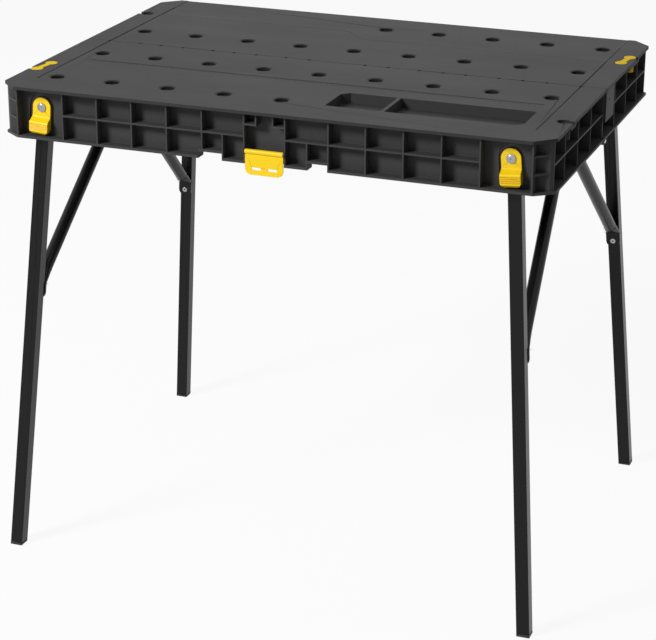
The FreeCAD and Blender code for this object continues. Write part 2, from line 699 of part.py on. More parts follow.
def end_apron(side):
    """The ribbed apron of one end of the front half, with its slanted corner."""
    def ends(low, high):
        return (low, high) if side > 0 else (-high, -low)

    out = ends(end_outer, half_length)
    ribs = ends(end_outer, end_rib_x)
    along = (-corner_y, -seam_edge)
    upright = (flange_top, plate_under)
    level = (mid_rib_top - s.mid_rib_thickness, mid_rib_top)
    solids = [box(ends(end_inner, end_outer), along, (rim_height, plate_under))]
    solids.append(box(out, along, (rim_height, flange_top)))
    solids.append(box(ribs, along, level))
    solids.append(box(ribs, (-corner_y, -corner_y + s.rib_thickness), upright))
    solids.append(box(ribs, (-seam_edge - s.rib_thickness, -seam_edge), upright))
    first = s.end_rib_inset - half_depth
    for step in range(END_RIBS):
        solids.append(box(ribs, around(first + s.end_rib_pitch * step, s.rib_thickness), upright))

    # Behind the slanted corner the wall of the long apron runs on until it meets the slant.
    corner_end = (end_rib_x * side, -corner_y)
    corner_front = (corner_x * side, -rib_front)
    share = (wall_outer - corner_y) / (rib_front - corner_y)
    meeting = (end_rib_x - (end_rib_x - corner_x) * share) * side
    inner = [(corner_x * side, -wall_inner), (end_inner * side, -wall_inner),
             (end_inner * side, -corner_y)]
    flange = [(half_length * side, -corner_y), corner_front] + inner
    solids.append(prism("XY", flange, rim_height, flange_top))
    wall = [corner_end, (meeting, -wall_outer), (corner_x * side, -wall_outer)] + inner
    solids.append(prism("XY", wall, flange_top, plate_under))
    for step in range(CORNER_RIBS):
        top = s.top_height - s.corner_rib_step * (step + 1) + s.mid_rib_thickness
        rib = [corner_end, corner_front, (corner_x * side, -wall_inner)]
        solids.append(prism("XY", rib, top - s.mid_rib_thickness, top))
    tools = [box(*pads[side], pad_level), pin_hole()]
    if side > 0:
        solids += knuckle((end_outer + half_length) / 2, s.wall_recess)
    else:
        tools.append(knuckle_room(-(end_outer + half_length) / 2, s.wall_recess))
        # The flush plate closes the upper part of the cell beside the seam.
        cover = (s.top_height - s.cover_height, plate_under)
        solids.append(box((-half_length, -end_rib_x), (-s.cover_width, -seam_edge), cover))
        x = (-half_length - s.overrun, -end_rib_x + s.overrun)
        drop = s.top_height - s.cover_hole_drop
        tools.append(rod("x", s.cover_hole, x[0], x[1], -s.cover_hole_offset, drop))
    return cut(fuse(*solids), *tools)


class Leg:
    """One leg frame in its own directions: Y along the axle to the seam, Z up the leg."""

    def __init__(self, name, side, high, rear):
        self.name = name
        self.side = side
        self.rear = rear
        self.inboard = s.high_offset if high else s.low_offset
        self.offset = self.inboard * -side
        self.axle_z = high_axle if high else low_axle
        self.tilt = s.splay_x_share / (lean_full * lean_across) * side
        self.line_z = self.axle_z + self.offset * self.tilt
        self.sway = s.splay_x_share * s.splay_y_share / (lean_full * lean_across) * side
        self.axle_y = foot_y - s.splay_y_share * self.line_z + self.offset * self.sway
        self.place = self.turned(self.front_place())

    def front_place(self):
        """The frame's place in the front half."""
        lean_x, lean_y = number(s.splay_x_share), number(s.splay_y_share)
        down = V(self.side * lean_x, -lean_y, -1)
        down.normalize()
        inward = V(0, 1, -lean_y)
        inward.normalize()
        along = down.cross(inward)
        level = number(self.line_z)
        line = V(self.side * (number(foot_x) - lean_x * level),
                 lean_y * level - number(foot_y), level)
        base = line - along * number(self.offset)
        turn = FreeCAD.Rotation(along, inward, V(0, 0, 0) - down, "XYZ")
        return FreeCAD.Placement(base, turn)

    def turned(self, place):
        """A front place, turned to the rear half where the leg is there."""
        return HALF_TURN.multiply(place) if self.rear else place

    def floor(self, x):
        """How far along the leg the floor lies, at a place across it."""
        return (self.axle_z + x * self.tilt) * lean_full

    def rivet(self):
        """The rivet's distance along the leg from the axle."""
        return (self.line_z - s.top_height + s.rivet_drop) * lean_full

    def tube(self):
        """The square tube with its axle and rivet holes."""
        end = self.floor(self.offset) - s.cap_floor
        outer = around(self.offset, s.leg_width)
        bore = around(self.offset, s.leg_width - s.leg_wall * 2)
        half = s.leg_width / 2
        inner = half - s.leg_wall
        body = box(outer, (-half, half), (-end, s.leg_head))
        hollow = box(bore, (-inner, inner), (-end - s.overrun, s.leg_head + s.overrun))
        axle = s.axle_radius + s.running_gap
        across = rod("y", axle, -half - s.overrun, half + s.overrun, 0, 0)
        rivet = s.rivet_radius + s.running_gap
        hole = rod("y", rivet, 0, half + s.overrun, self.offset, -self.rivet())
        return cut(body, hollow, across, hole)

    def cap(self):
        """The foot cap: a flush sole cut level with the floor, and its plug in the tube."""
        half = s.leg_width / 2
        plug = half - s.leg_wall - s.cap_slack
        end = self.floor(self.offset)
        low = -end - s.cap_floor
        seat = -end + s.cap_floor
        sole = box(around(self.offset, s.leg_width), (-half, half), (low, seat))
        core = box(around(self.offset, plug * 2), (-plug, plug), (low, -end + s.cap_height))
        block = placed(block_copy(fuse(sole, core)), self.place)
        reach = half_length + foot_x
        room = box((-reach, reach), (-reach, reach), (0, s.leg_width * 2))
        return common(block, room)

    def axle(self):
        """The rod that the leg frame folds on."""
        outer = (wall_inner - s.latch_seat_gap - self.axle_y) * lean_across
        inner = (self.axle_y - s.axle_end) * lean_across
        return rod("y", s.axle_radius, -outer, inner, 0, 0)

    def brace(self):
        """The round strut with its flattened ends, from the rivet to the axle."""
        part = doc.addObject("Part::Feature", "brace")
        part.Shape = brace_shape(self)
        return part

    def rivet_piece(self):
        """The hollow rivet that holds the brace to the leg."""
        half = s.leg_width / 2
        tab = half + s.tab_thickness
        x, z = self.offset, -self.rivet()
        inner = half - s.leg_wall
        shank = rod("y", s.rivet_radius, inner - s.rivet_head, tab, x, z)
        head = rod("y", s.rivet_head_radius, tab, tab + s.rivet_head, x, z)
        flare = rod("y", s.rivet_radius * s.rivet_flare_share, inner - s.rivet_head, inner, x, z)
        bore = rod("y", s.rivet_bore, inner - s.rivet_head * 2, tab + s.rivet_head * 2, x, z)
        return cut(fuse(shank, head, flare), bore)

    def brackets(self):
        """The steel plate at the wall and the saddle at the seam that carry the axle."""
        x = latch_x * self.side
        plate_z = (bracket_foot, latch_height + s.bracket_width / 2)
        plate = box(around(x, s.bracket_width), (-wall_inner, -bracket_inner), plate_z)
        axle_x = foot_x - s.splay_x_share * self.line_z
        saddle_x = around((axle_x + self.inboard) * self.side, s.saddle_width)
        drop = (self.axle_y - s.saddle_reach) * s.splay_y_share
        saddle_z = (self.axle_z - drop - s.saddle_below, self.axle_z - drop + s.saddle_above)
        saddle = box(saddle_x, (-s.saddle_reach, -seam_wall_inner), saddle_z)
        reach = half_depth
        hole = rod("y", s.axle_radius + s.running_gap, -reach, self.axle_y * lean_across, 0, 0)
        hole = placed(block_copy(hole), self.front_place())
        screw = s.screw_radius + s.running_gap
        screw_hole = rod("y", screw, -wall_outer, -bracket_inner + s.overrun, x, latch_height)
        return group(cut(plate, hole, screw_hole), cut(saddle, hole, pin_hole()))


def block_copy(thing):
    """Wraps a thing so that its own bound place stays and the whole can be moved."""
    return group(thing)


def section(middle, width, thickness, corner, across, along):
    """A closed section of eight edges: a rounded oblong, nearly a circle when corner is near half of both."""
    w, t = width / 2, thickness / 2
    points, centres = [], []
    for a, b in ((1, 1), (-1, 1), (-1, -1), (1, -1)):
        centre = middle + across * (a * (w - corner)) + along * (b * (t - corner))
        first, last = centre + across * (a * corner), centre + along * (b * corner)
        if a * b < 0:
            first, last = last, first
        points += [first, last]
        centres.append((centre, a, b))
    edges = []
    for index, (centre, a, b) in enumerate(centres):
        first, last = points[index * 2], points[index * 2 + 1]
        mid = centre + (across * a + along * b) * (corner * math.sqrt(0.5))
        edges.append(Part.Arc(first, mid, last).toShape())
        following = points[(index * 2 + 2) % len(points)]
        edges.append(Part.LineSegment(last, following).toShape())
    return Part.Wire(edges)


def brace_shape(leg):
    """The brace as tube, flattened ends and tabs, in the leg's own directions."""
    x = number(leg.offset)
    half = number(s.leg_width) / 2
    width, thick = number(s.tab_width), number(s.tab_thickness)
    radius, wall = number(s.brace_radius), number(s.brace_wall)
    low_y = half + thick / 2
    top_y = number((leg.axle_y - s.brace_top) * lean_across)
    low_z = number(s.brace_bend) - number(leg.rivet())
    top_z = number((rim_height - s.brace_top_drop - leg.line_z) * lean_full)
    low, top = V(x, low_y, low_z), V(x, top_y, top_z)
    line = (top - low).normalize()
    across = V(1, 0, 0)
    square = line.cross(across)
    flare = number(s.brace_flare)
    near, far = low + line * flare, top - line * flare
    edge = number(s.tab_edge)
    parts = [Part.makeCylinder(radius, near.distanceToPoint(far), near, line)]
    for bend, ring in ((low, near), (top, far)):
        flat = section(bend, width, thick, edge, across, V(0, 1, 0))
        oval = section((bend + ring) / 2, (width + radius * 2) / 2, (thick + radius * 2) / 2,
                       (thick + radius * 2) / 4 - edge / 4, across, square * -1)
        tube_end = section(ring, radius * 2, radius * 2, radius * ROUND_SHARE, across, square * -1)
        parts.append(Part.makeLoft([flat, oval, tube_end], True, True))
    tail = number(s.tab_tail)
    rivet_z = -number(leg.rivet())
    for y, start, end, hole_x, hole_z, hole in (
            (low_y, rivet_z, low_z, x, rivet_z, s.rivet_radius),
            (top_y, top_z, 0, x, 0, s.axle_radius)):
        tab = Part.makeBox(width, thick, end - start, V(x - width / 2, y - thick / 2, start))
        tip = start if hole is s.rivet_radius else end
        disc = Part.makeCylinder(width / 2, thick, V(x, y - thick / 2, tip), V(0, 1, 0))
        parts += [tab, disc]
    body = parts[0].multiFuse(parts[1:])
    clear = number(s.running_gap)
    reach = number(s.overrun)
    bore = Part.makeCylinder(radius - wall, near.distanceToPoint(far), near, line)
    rivet = Part.makeCylinder(number(s.rivet_radius) + clear, thick + reach * 2,
                              V(x, low_y - thick / 2 - reach, rivet_z), V(0, 1, 0))
    axle = Part.makeCylinder(number(s.axle_radius) + clear, thick + reach * 2,
                             V(0, top_y - thick / 2 - reach, 0), V(0, 1, 0))
    below = Part.makeBox(width * 2, thick * 2, width,
                         V(x - width, low_y - thick, rivet_z - tail - width))
    return body.cut([bore, rivet, axle, below]).removeSplitter()


def latch(side):
    """The yellow leg latch with its grip, nose and screw hole, at one end of the front."""
    x = latch_x * side
    back = -wall_outer - s.latch_seat_gap
    face = back - s.latch_plate
    grip = face - s.latch_step
    top = latch_height + s.latch_radius
    neck = latch_height - s.latch_neck
    foot = latch_foot
    corner = s.latch_corner
    ease = corner * s.latch_ease_share
    profile = [(back, top), (face, top)]
    for step in range(STEP_FACETS + 1):
        fall = step / STEP_FACETS
        stand = (1 - math.cos(math.pi * fall)) / 2
        profile.append((face - s.latch_step * stand, neck - s.latch_slope * fall))
    profile += [(grip, foot + s.latch_chin), (grip + s.latch_chin, foot), (back, foot)]
    body = prism("YZ", profile, x - s.latch_grip_width / 2, x + s.latch_grip_width / 2)
    half = s.latch_grip_width / 2
    shoulder = neck - s.latch_slope
    outline = [
        (x - s.latch_radius, latch_height), (x - s.latch_radius, neck), (x - half, shoulder),
        (x - half, foot + corner), (x - half + ease, foot + ease), (x - half + corner, foot),
        (x + half - corner, foot), (x + half - ease, foot + ease), (x + half, foot + corner),
        (x + half, shoulder), (x + s.latch_radius, neck), (x + s.latch_radius, latch_height),
    ]
    reach = (grip - s.overrun, back + s.overrun)
    shape = fuse(prism("XZ", outline, reach[0], reach[1]),
                 rod("y", s.latch_radius, reach[0], reach[1], x, latch_height))
    plate = common(body, shape)
    nose = box(around(x, s.nose_width), (back - s.overrun, back + s.nose_reach),
               (foot, foot + s.nose_height))
    tools = [rod("y", s.latch_hole, reach[0], reach[1], x, latch_height)]
    for step in range(GRIP_GROOVES):
        middle = foot + corner + s.groove_pitch * step
        tools.append(box(around(x, s.latch_grip_width * 2), (grip - s.overrun, grip + s.groove_depth),
                         around(middle, s.groove_width)))
    return group(leaned(cut(fuse(plate, nose), *tools), side))


def latch_screw(side):
    """The washer-head screw of a latch, with its cross drive."""
    x = latch_x * side
    under = -wall_outer - s.latch_seat_gap - s.latch_plate - s.screw_gap
    tip = -bracket_inner + s.screw_tail
    shank = rod("y", s.screw_radius, under, tip, x, latch_height)
    head = rod("y", s.screw_head_radius, under - s.screw_head, under, x, latch_height)
    deep = (under - s.screw_head - s.overrun, under - s.screw_head / 2)
    bars = [box(around(x, s.drive_length), deep, around(latch_height, s.drive_width)),
            box(around(x, s.drive_width), deep, around(latch_height, s.drive_length))]
    return cut(fuse(shank, head), *bars)


def latch_spring(side):
    """The bowed leaf behind the head of a latch, which swings it back."""
    x = latch_x * side
    middle = latch_height + s.leaf_rise
    near = -wall_inner - s.leaf_gap
    far = -wall_outer - s.latch_seat_gap + s.leaf_gap
    thick, half, crown = s.leaf_thickness, s.leaf_length / 2, s.leaf_crown / 2
    knee = half - s.leaf_foot
    outline = [
        (near - thick, middle - half), (near - thick, middle - knee), (far, middle - crown),
        (far, middle + crown), (near - thick, middle + knee), (near - thick, middle + half),
        (near, middle + half), (near, middle + knee), (far + thick, middle + crown),
        (far + thick, middle - crown), (near, middle - knee), (near, middle - half),
    ]
    return group(prism("YZ", outline, x - s.leaf_width / 2, x + s.leaf_width / 2))


def hasp():
    """The yellow hasp plate with its rolled edge and two slots."""
    y = -half_depth + s.hasp_pin_inset
    z = rim_height + s.hasp_pin_rise
    foot = z - s.hasp_drop
    half = s.hasp_width / 2
    corner = s.hasp_corner
    ease = corner * s.hasp_ease_share
    outline = [
        (-half, z), (-half, foot + corner), (-half + ease, foot + ease), (-half + corner, foot),
        (half - corner, foot), (half - ease, foot + ease), (half, foot + corner), (half, z),
    ]
    sheet_y = (y - s.hasp_thickness / 2, y + s.hasp_thickness / 2)
    solids = [prism("XZ", outline, sheet_y[0], sheet_y[1]),
              rod("x", s.hasp_roll, -half, half, y, z)]
    bore = s.hasp_pin_radius + s.running_gap
    tools = [rod("x", bore, -half - s.overrun, half + s.overrun, y, z)]
    through = (sheet_y[0] - s.overrun, sheet_y[1] + s.overrun)
    level = z - s.hasp_slot_drop
    for side in (-1, 1):
        x = s.hasp_slot_offset * side
        straight = s.hasp_slot_width - s.hasp_slot_height
        tools.append(box(around(x, straight), through, around(level, s.hasp_slot_height)))
        for end in (-1, 1):
            place = x + straight / 2 * end
            tools.append(rod("y", s.hasp_slot_height / 2, through[0], through[1], place, level))
    return cut(fuse(*solids), *tools)


def hasp_pin():
    """The pin of the hasp, carried in the ribs of the middle panel."""
    reach = s.centre_panel / 2 + s.rib_thickness / 4
    y = -half_depth + s.hasp_pin_inset
    return rod("x", s.hasp_pin_radius, -reach, reach, y, rim_height + s.hasp_pin_rise)


def keeper():
    """The plate with two pegs that the hasp closes over, built in the front half's place."""
    hasp_z = rim_height + s.hasp_pin_rise - s.hasp_slot_drop
    level = pin_height * 2 - hasp_z
    low = rim_height + s.overrun / 2
    back = -wall_outer
    plate = box(around(0, s.keeper_width), (back - s.keeper_plate, back),
                (low, low + s.keeper_height))
    pegs = []
    for side in (-1, 1):
        x = around(s.hasp_slot_offset * side, s.keeper_peg_width)
        pegs.append(box(x, (-half_depth + s.keeper_peg_tip, back - s.keeper_plate),
                        around(level, s.keeper_peg_height)))
    return fuse(plate, *pegs)


def link():
    """The dog-bone link with its two pegs, at the front left."""
    floor = s.top_height - s.link_plate
    head = lobes(s.link_radius, s.link_neck, floor, s.top_height)
    return fuse(head, *link_pegs(s.peg_radius, floor - s.peg_length, floor))


def hinge_pin():
    """The pin that the two halves turn on."""
    reach = half_length + s.pin_reach
    return rod("x", s.pin_radius, -reach, reach, 0, pin_height)


for half_name, is_front in (("front", True), ("rear", False)):
    turn = FreeCAD.Placement() if is_front else HALF_TURN
    own_left, own_right = ("left", "right") if is_front else ("right", "left")
    node(half_name + "_deck", deck(is_front), turn)
    node(half_name + "_apron", long_apron(is_front), turn)
    node("%s_%s_end_apron" % (half_name, own_left), end_apron(-1), turn)
    node("%s_%s_end_apron" % (half_name, own_right), end_apron(1), turn)
    node(half_name + "_seam_wall", seam_wall(), turn)
    link_end = "%s_%s" % (half_name, own_left)
    node(link_end + "_link", link(), turn)
    for end_name, way in ((own_left, -1), (own_right, 1)):
        corner_name = "%s_%s" % (half_name, end_name)
        frame = Leg(corner_name, way, way < 0, not is_front)
        node(corner_name + "_leg_tube", frame.tube(), frame.place)
        node(corner_name + "_foot_cap", frame.cap())
        node(corner_name + "_axle", group(frame.axle()), frame.place)
        node(corner_name + "_brace", frame.brace(), frame.place)
        node(corner_name + "_brace_rivet", frame.rivet_piece(), frame.place)
        node(corner_name + "_axle_brackets", frame.brackets(), turn)
        node(corner_name + "_latch", latch(way), turn)
        node(corner_name + "_latch_screw", latch_screw(way), turn)
        node(corner_name + "_latch_spring", latch_spring(way), turn)
        turned_x = frame.place.Base
        print(corner_name, "fold axis at", turned_x, "along", frame.place.Rotation.multVec(V(0, 1, 0)))
node("hinge_pin", group(hinge_pin()))
node("hasp", hasp())
node("hasp_pin", group(hasp_pin()))
node("hasp_keeper", keeper(), HALF_TURN)

doc.recompute()
faults = [thing.Label for thing in doc.Objects if "Invalid" in thing.State or "Error" in thing.State]
for thing in nodes:
    if thing.Shape.isNull() or not thing.Shape.isValid() or not thing.Shape.Solids:
        faults.append(thing.Label)
if faults:
    raise RuntimeError("these sub-parts failed: " + ", ".join(faults))

os.makedirs("parts", exist_ok=True)
for thing in nodes:
    thing.Shape.exportStep("parts/%s.step" % thing.Label)
    solids = len(thing.Shape.Solids)
    print("%-32s solids %d volume %.0f" % (thing.Label, solids, thing.Shape.Volume))
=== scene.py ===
import logging
import math
from collections.abc import Callable
from dataclasses import dataclass, field
from enum import Enum

import bpy
from mathutils import Matrix, Vector


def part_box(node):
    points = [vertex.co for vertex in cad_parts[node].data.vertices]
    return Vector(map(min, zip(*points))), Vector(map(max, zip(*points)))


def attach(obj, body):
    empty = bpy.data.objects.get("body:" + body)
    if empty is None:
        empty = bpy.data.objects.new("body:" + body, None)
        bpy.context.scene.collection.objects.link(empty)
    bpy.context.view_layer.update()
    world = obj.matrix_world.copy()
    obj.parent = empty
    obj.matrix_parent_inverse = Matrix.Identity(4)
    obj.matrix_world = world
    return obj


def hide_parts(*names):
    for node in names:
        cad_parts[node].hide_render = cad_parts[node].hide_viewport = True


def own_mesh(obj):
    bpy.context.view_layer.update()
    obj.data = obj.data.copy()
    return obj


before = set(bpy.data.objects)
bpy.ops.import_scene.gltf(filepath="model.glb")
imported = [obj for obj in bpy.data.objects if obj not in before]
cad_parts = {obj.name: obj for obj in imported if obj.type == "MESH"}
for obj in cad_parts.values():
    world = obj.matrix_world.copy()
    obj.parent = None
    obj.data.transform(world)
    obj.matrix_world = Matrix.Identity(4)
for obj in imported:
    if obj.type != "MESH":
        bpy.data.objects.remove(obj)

LOG = logging.getLogger("workbench")
Point = tuple[float, float, float]
Colour = tuple[float, float, float, float]

# Places on the worktop, in metres
TOP_HEIGHT = 0.747
DOG_PITCH = 0.0904
DOG_ROWS = (0.078, 0.232)
DOG_RADIUS = 0.0118
SEAM_REACH = 0.0038

# How far below the top the painted shade in the dog-hole bores and in the seam slit begins
BORE_SHADE_DEPTH = 0.0010
SEAM_SHADE_DEPTH = 0.0003

# Least part of a normal along an axis for a face that looks along it
FACING = 0.9
ORIGIN = (0.0, 0.0, 0.0)

# Colours that more than one finish uses
WHITE = (1.0, 1.0, 1.0, 1.0)
# Near-black for the painted shade in the dog-hole bores and the seam slit
PAINTED_SHADE_BLACK = (0.007, 0.007, 0.007, 1.0)
WORN_BLACK = (0.15, 0.15, 0.155, 1)
YELLOW = (0.89, 0.60, 0.006, 1)
WORN_YELLOW = (1.0, 0.78, 0.08, 1)


class Half(Enum):
    """The two half tops; the value is the sign that turns a front place into the half's own."""

    FRONT = 1
    REAR = -1

    @property
    def label(self) -> str:
        """The half's name in the node names."""
        return self.name.lower()


class Hand(Enum):
    """The ends of the bench; the value is the sign of X there."""

    LEFT = -1
    RIGHT = 1

    @property
    def label(self) -> str:
        """The end's name in the node names."""
        return self.name.lower()


class Hands:
    """Everyday moves of modelling: selecting, cleaning up and finishing a mesh."""

    join_gap = 0.000004
    smooth_margin = 15.0

    @staticmethod
    def clear() -> None:
        """Leaves nothing selected and no object in edit mode."""
        if bpy.context.object and bpy.context.object.mode != "OBJECT":
            bpy.ops.object.mode_set(mode="OBJECT")
        bpy.ops.object.select_all(action="DESELECT")

    @staticmethod
    def take(piece: bpy.types.Object) -> None:
        """Selects one piece alone and makes it the active one.

        Args:
            piece: The object to work on.
        """
        Hands.clear()
        piece.select_set(True)
        bpy.context.view_layer.objects.active = piece

    @staticmethod
    def name_new(name: str) -> bpy.types.Object:
        """Names the object that an operator just made.

        Args:
            name: The new name.

        Returns:
            The named object.
        """
        piece = bpy.context.object
        piece.name = name
        piece.data.name = name
        return piece

    @staticmethod
    def settle(piece: bpy.types.Object) -> None:
        """Puts the piece's place, turn and size into its mesh."""
        Hands.take(piece)
        bpy.ops.object.transform_apply(location=True, rotation=True, scale=True)

    @staticmethod
    def modify(piece: bpy.types.Object, kind: str, **values: object) -> None:
        """Adds a modifier and applies it.

        Args:
            piece: The object to change.
            kind: The modifier's type.
            values: The modifier's settings.
        """
        Hands.take(piece)
        modifier = piece.modifiers.new(kind.lower(), kind)
        for key, value in values.items():
            setattr(modifier, key, value)
        bpy.ops.object.modifier_apply(modifier=modifier.name)

    @staticmethod
    def pick_faces(piece: bpy.types.Object, wanted: Callable[[bpy.types.MeshPolygon], bool]) -> None:
        """Opens a piece in edit mode with only the wanted faces selected.

        Args:
            piece: The object to edit.
            wanted: Says whether a face is wanted.
        """
        Hands.take(piece)
        bpy.ops.object.mode_set(mode="EDIT")
        bpy.ops.mesh.select_mode(type="FACE")
        bpy.ops.mesh.select_all(action="DESELECT")
        bpy.ops.object.mode_set(mode="OBJECT")
        for face in piece.data.polygons:
            face.select = wanted(face)
        bpy.ops.object.mode_set(mode="EDIT")

    @staticmethod
    def ease_edges(piece: bpy.types.Object, width: float, segments: int = 2,
                   angle: float = 30.0) -> None:
        """Rounds the sharp edges and shades the piece smooth between them.

        Args:
            piece: The object to round.
            width: How far the rounding reaches from an edge.
            segments: Faces across the rounding.
            angle: The least turn, in degrees, of an edge that is rounded.
        """
        Hands.modify(piece, "BEVEL", width=width, segments=segments, limit_method="ANGLE",
                     angle_limit=math.radians(angle), use_clamp_overlap=False,
                     face_strength_mode="FSTR_ALL")
        Hands.take(piece)
        bpy.ops.object.shade_smooth_by_angle(angle=math.radians(angle + Hands.smooth_margin))
        Hands.modify(piece, "WEIGHTED_NORMAL", mode="FACE_AREA", weight=100, keep_sharp=True,
                     use_face_influence=True)

    @staticmethod
    def merged_copy(node: str, name: str) -> bpy.types.Object:
        """Copies a CAD node and welds its loose triangles into one connected mesh.

        Args:
            node: The CAD node's name.
            name: The copy's name.

        Returns:
            The cleaned copy, which rides on nothing yet.
        """
        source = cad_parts[node]
        piece = bpy.data.objects.new(name, source.data.copy())
        piece.data.name = name
        bpy.context.scene.collection.objects.link(piece)
        Hands.take(piece)
        bpy.ops.object.mode_set(mode="EDIT")
        bpy.ops.mesh.select_all(action="SELECT")
        bpy.ops.mesh.remove_doubles(threshold=Hands.join_gap)
        bpy.ops.object.mode_set(mode="OBJECT")
        piece.data.materials.clear()
        return piece

    @staticmethod
    def level_top(piece: bpy.types.Object, skin: float = 0.0004, film: float = 0.00015,
                  folded: float = 0.5, level: float = 0.97) -> None:
        """Takes out slivers that the rounding folded over and shades the flat top as truly flat.

        Args:
            piece: The piece with a broad flat top.
            skin: How deep below the top a folded sliver can lie.
            film: How deep below the top a face still belongs to it.
            folded: Least downward part of a folded sliver's normal.
            level: Least upward part of the top's normals.
        """
        Hands.pick_faces(piece, lambda face: (face.normal.z < -folded
                                              and face.center.z > TOP_HEIGHT - skin))
        bpy.ops.mesh.delete(type="FACE")
        Hands.clear()
        mesh = piece.data
        normals = [tuple(corner.vector) for corner in mesh.corner_normals]
        for face in mesh.polygons:
            if face.normal.z > level and face.center.z > TOP_HEIGHT - film:
                for index in face.loop_indices:
                    normals[index] = (0.0, 0.0, 1.0)
        mesh.normals_split_custom_set(normals)


@dataclass(frozen=True)
class Pattern:
    """A noise pattern: how fine it is, its finer layers, and how each axis is squeezed."""

    scale: float
    detail: float
    stretch: Point = (1.0, 1.0, 1.0)


# Noise patterns that the finishes share
FINE_GRAIN = Pattern(2600.0, 3.0)
SPECKS = Pattern(700.0, 2.0)
CLOUDS = Pattern(9.0, 4.0, (0.6, 1.6, 1.0))
BROKEN_RUB = Pattern(120.0, 4.0)
DUST_PATCHES = Pattern(26.0, 6.0, (0.5, 2.0, 1.0))


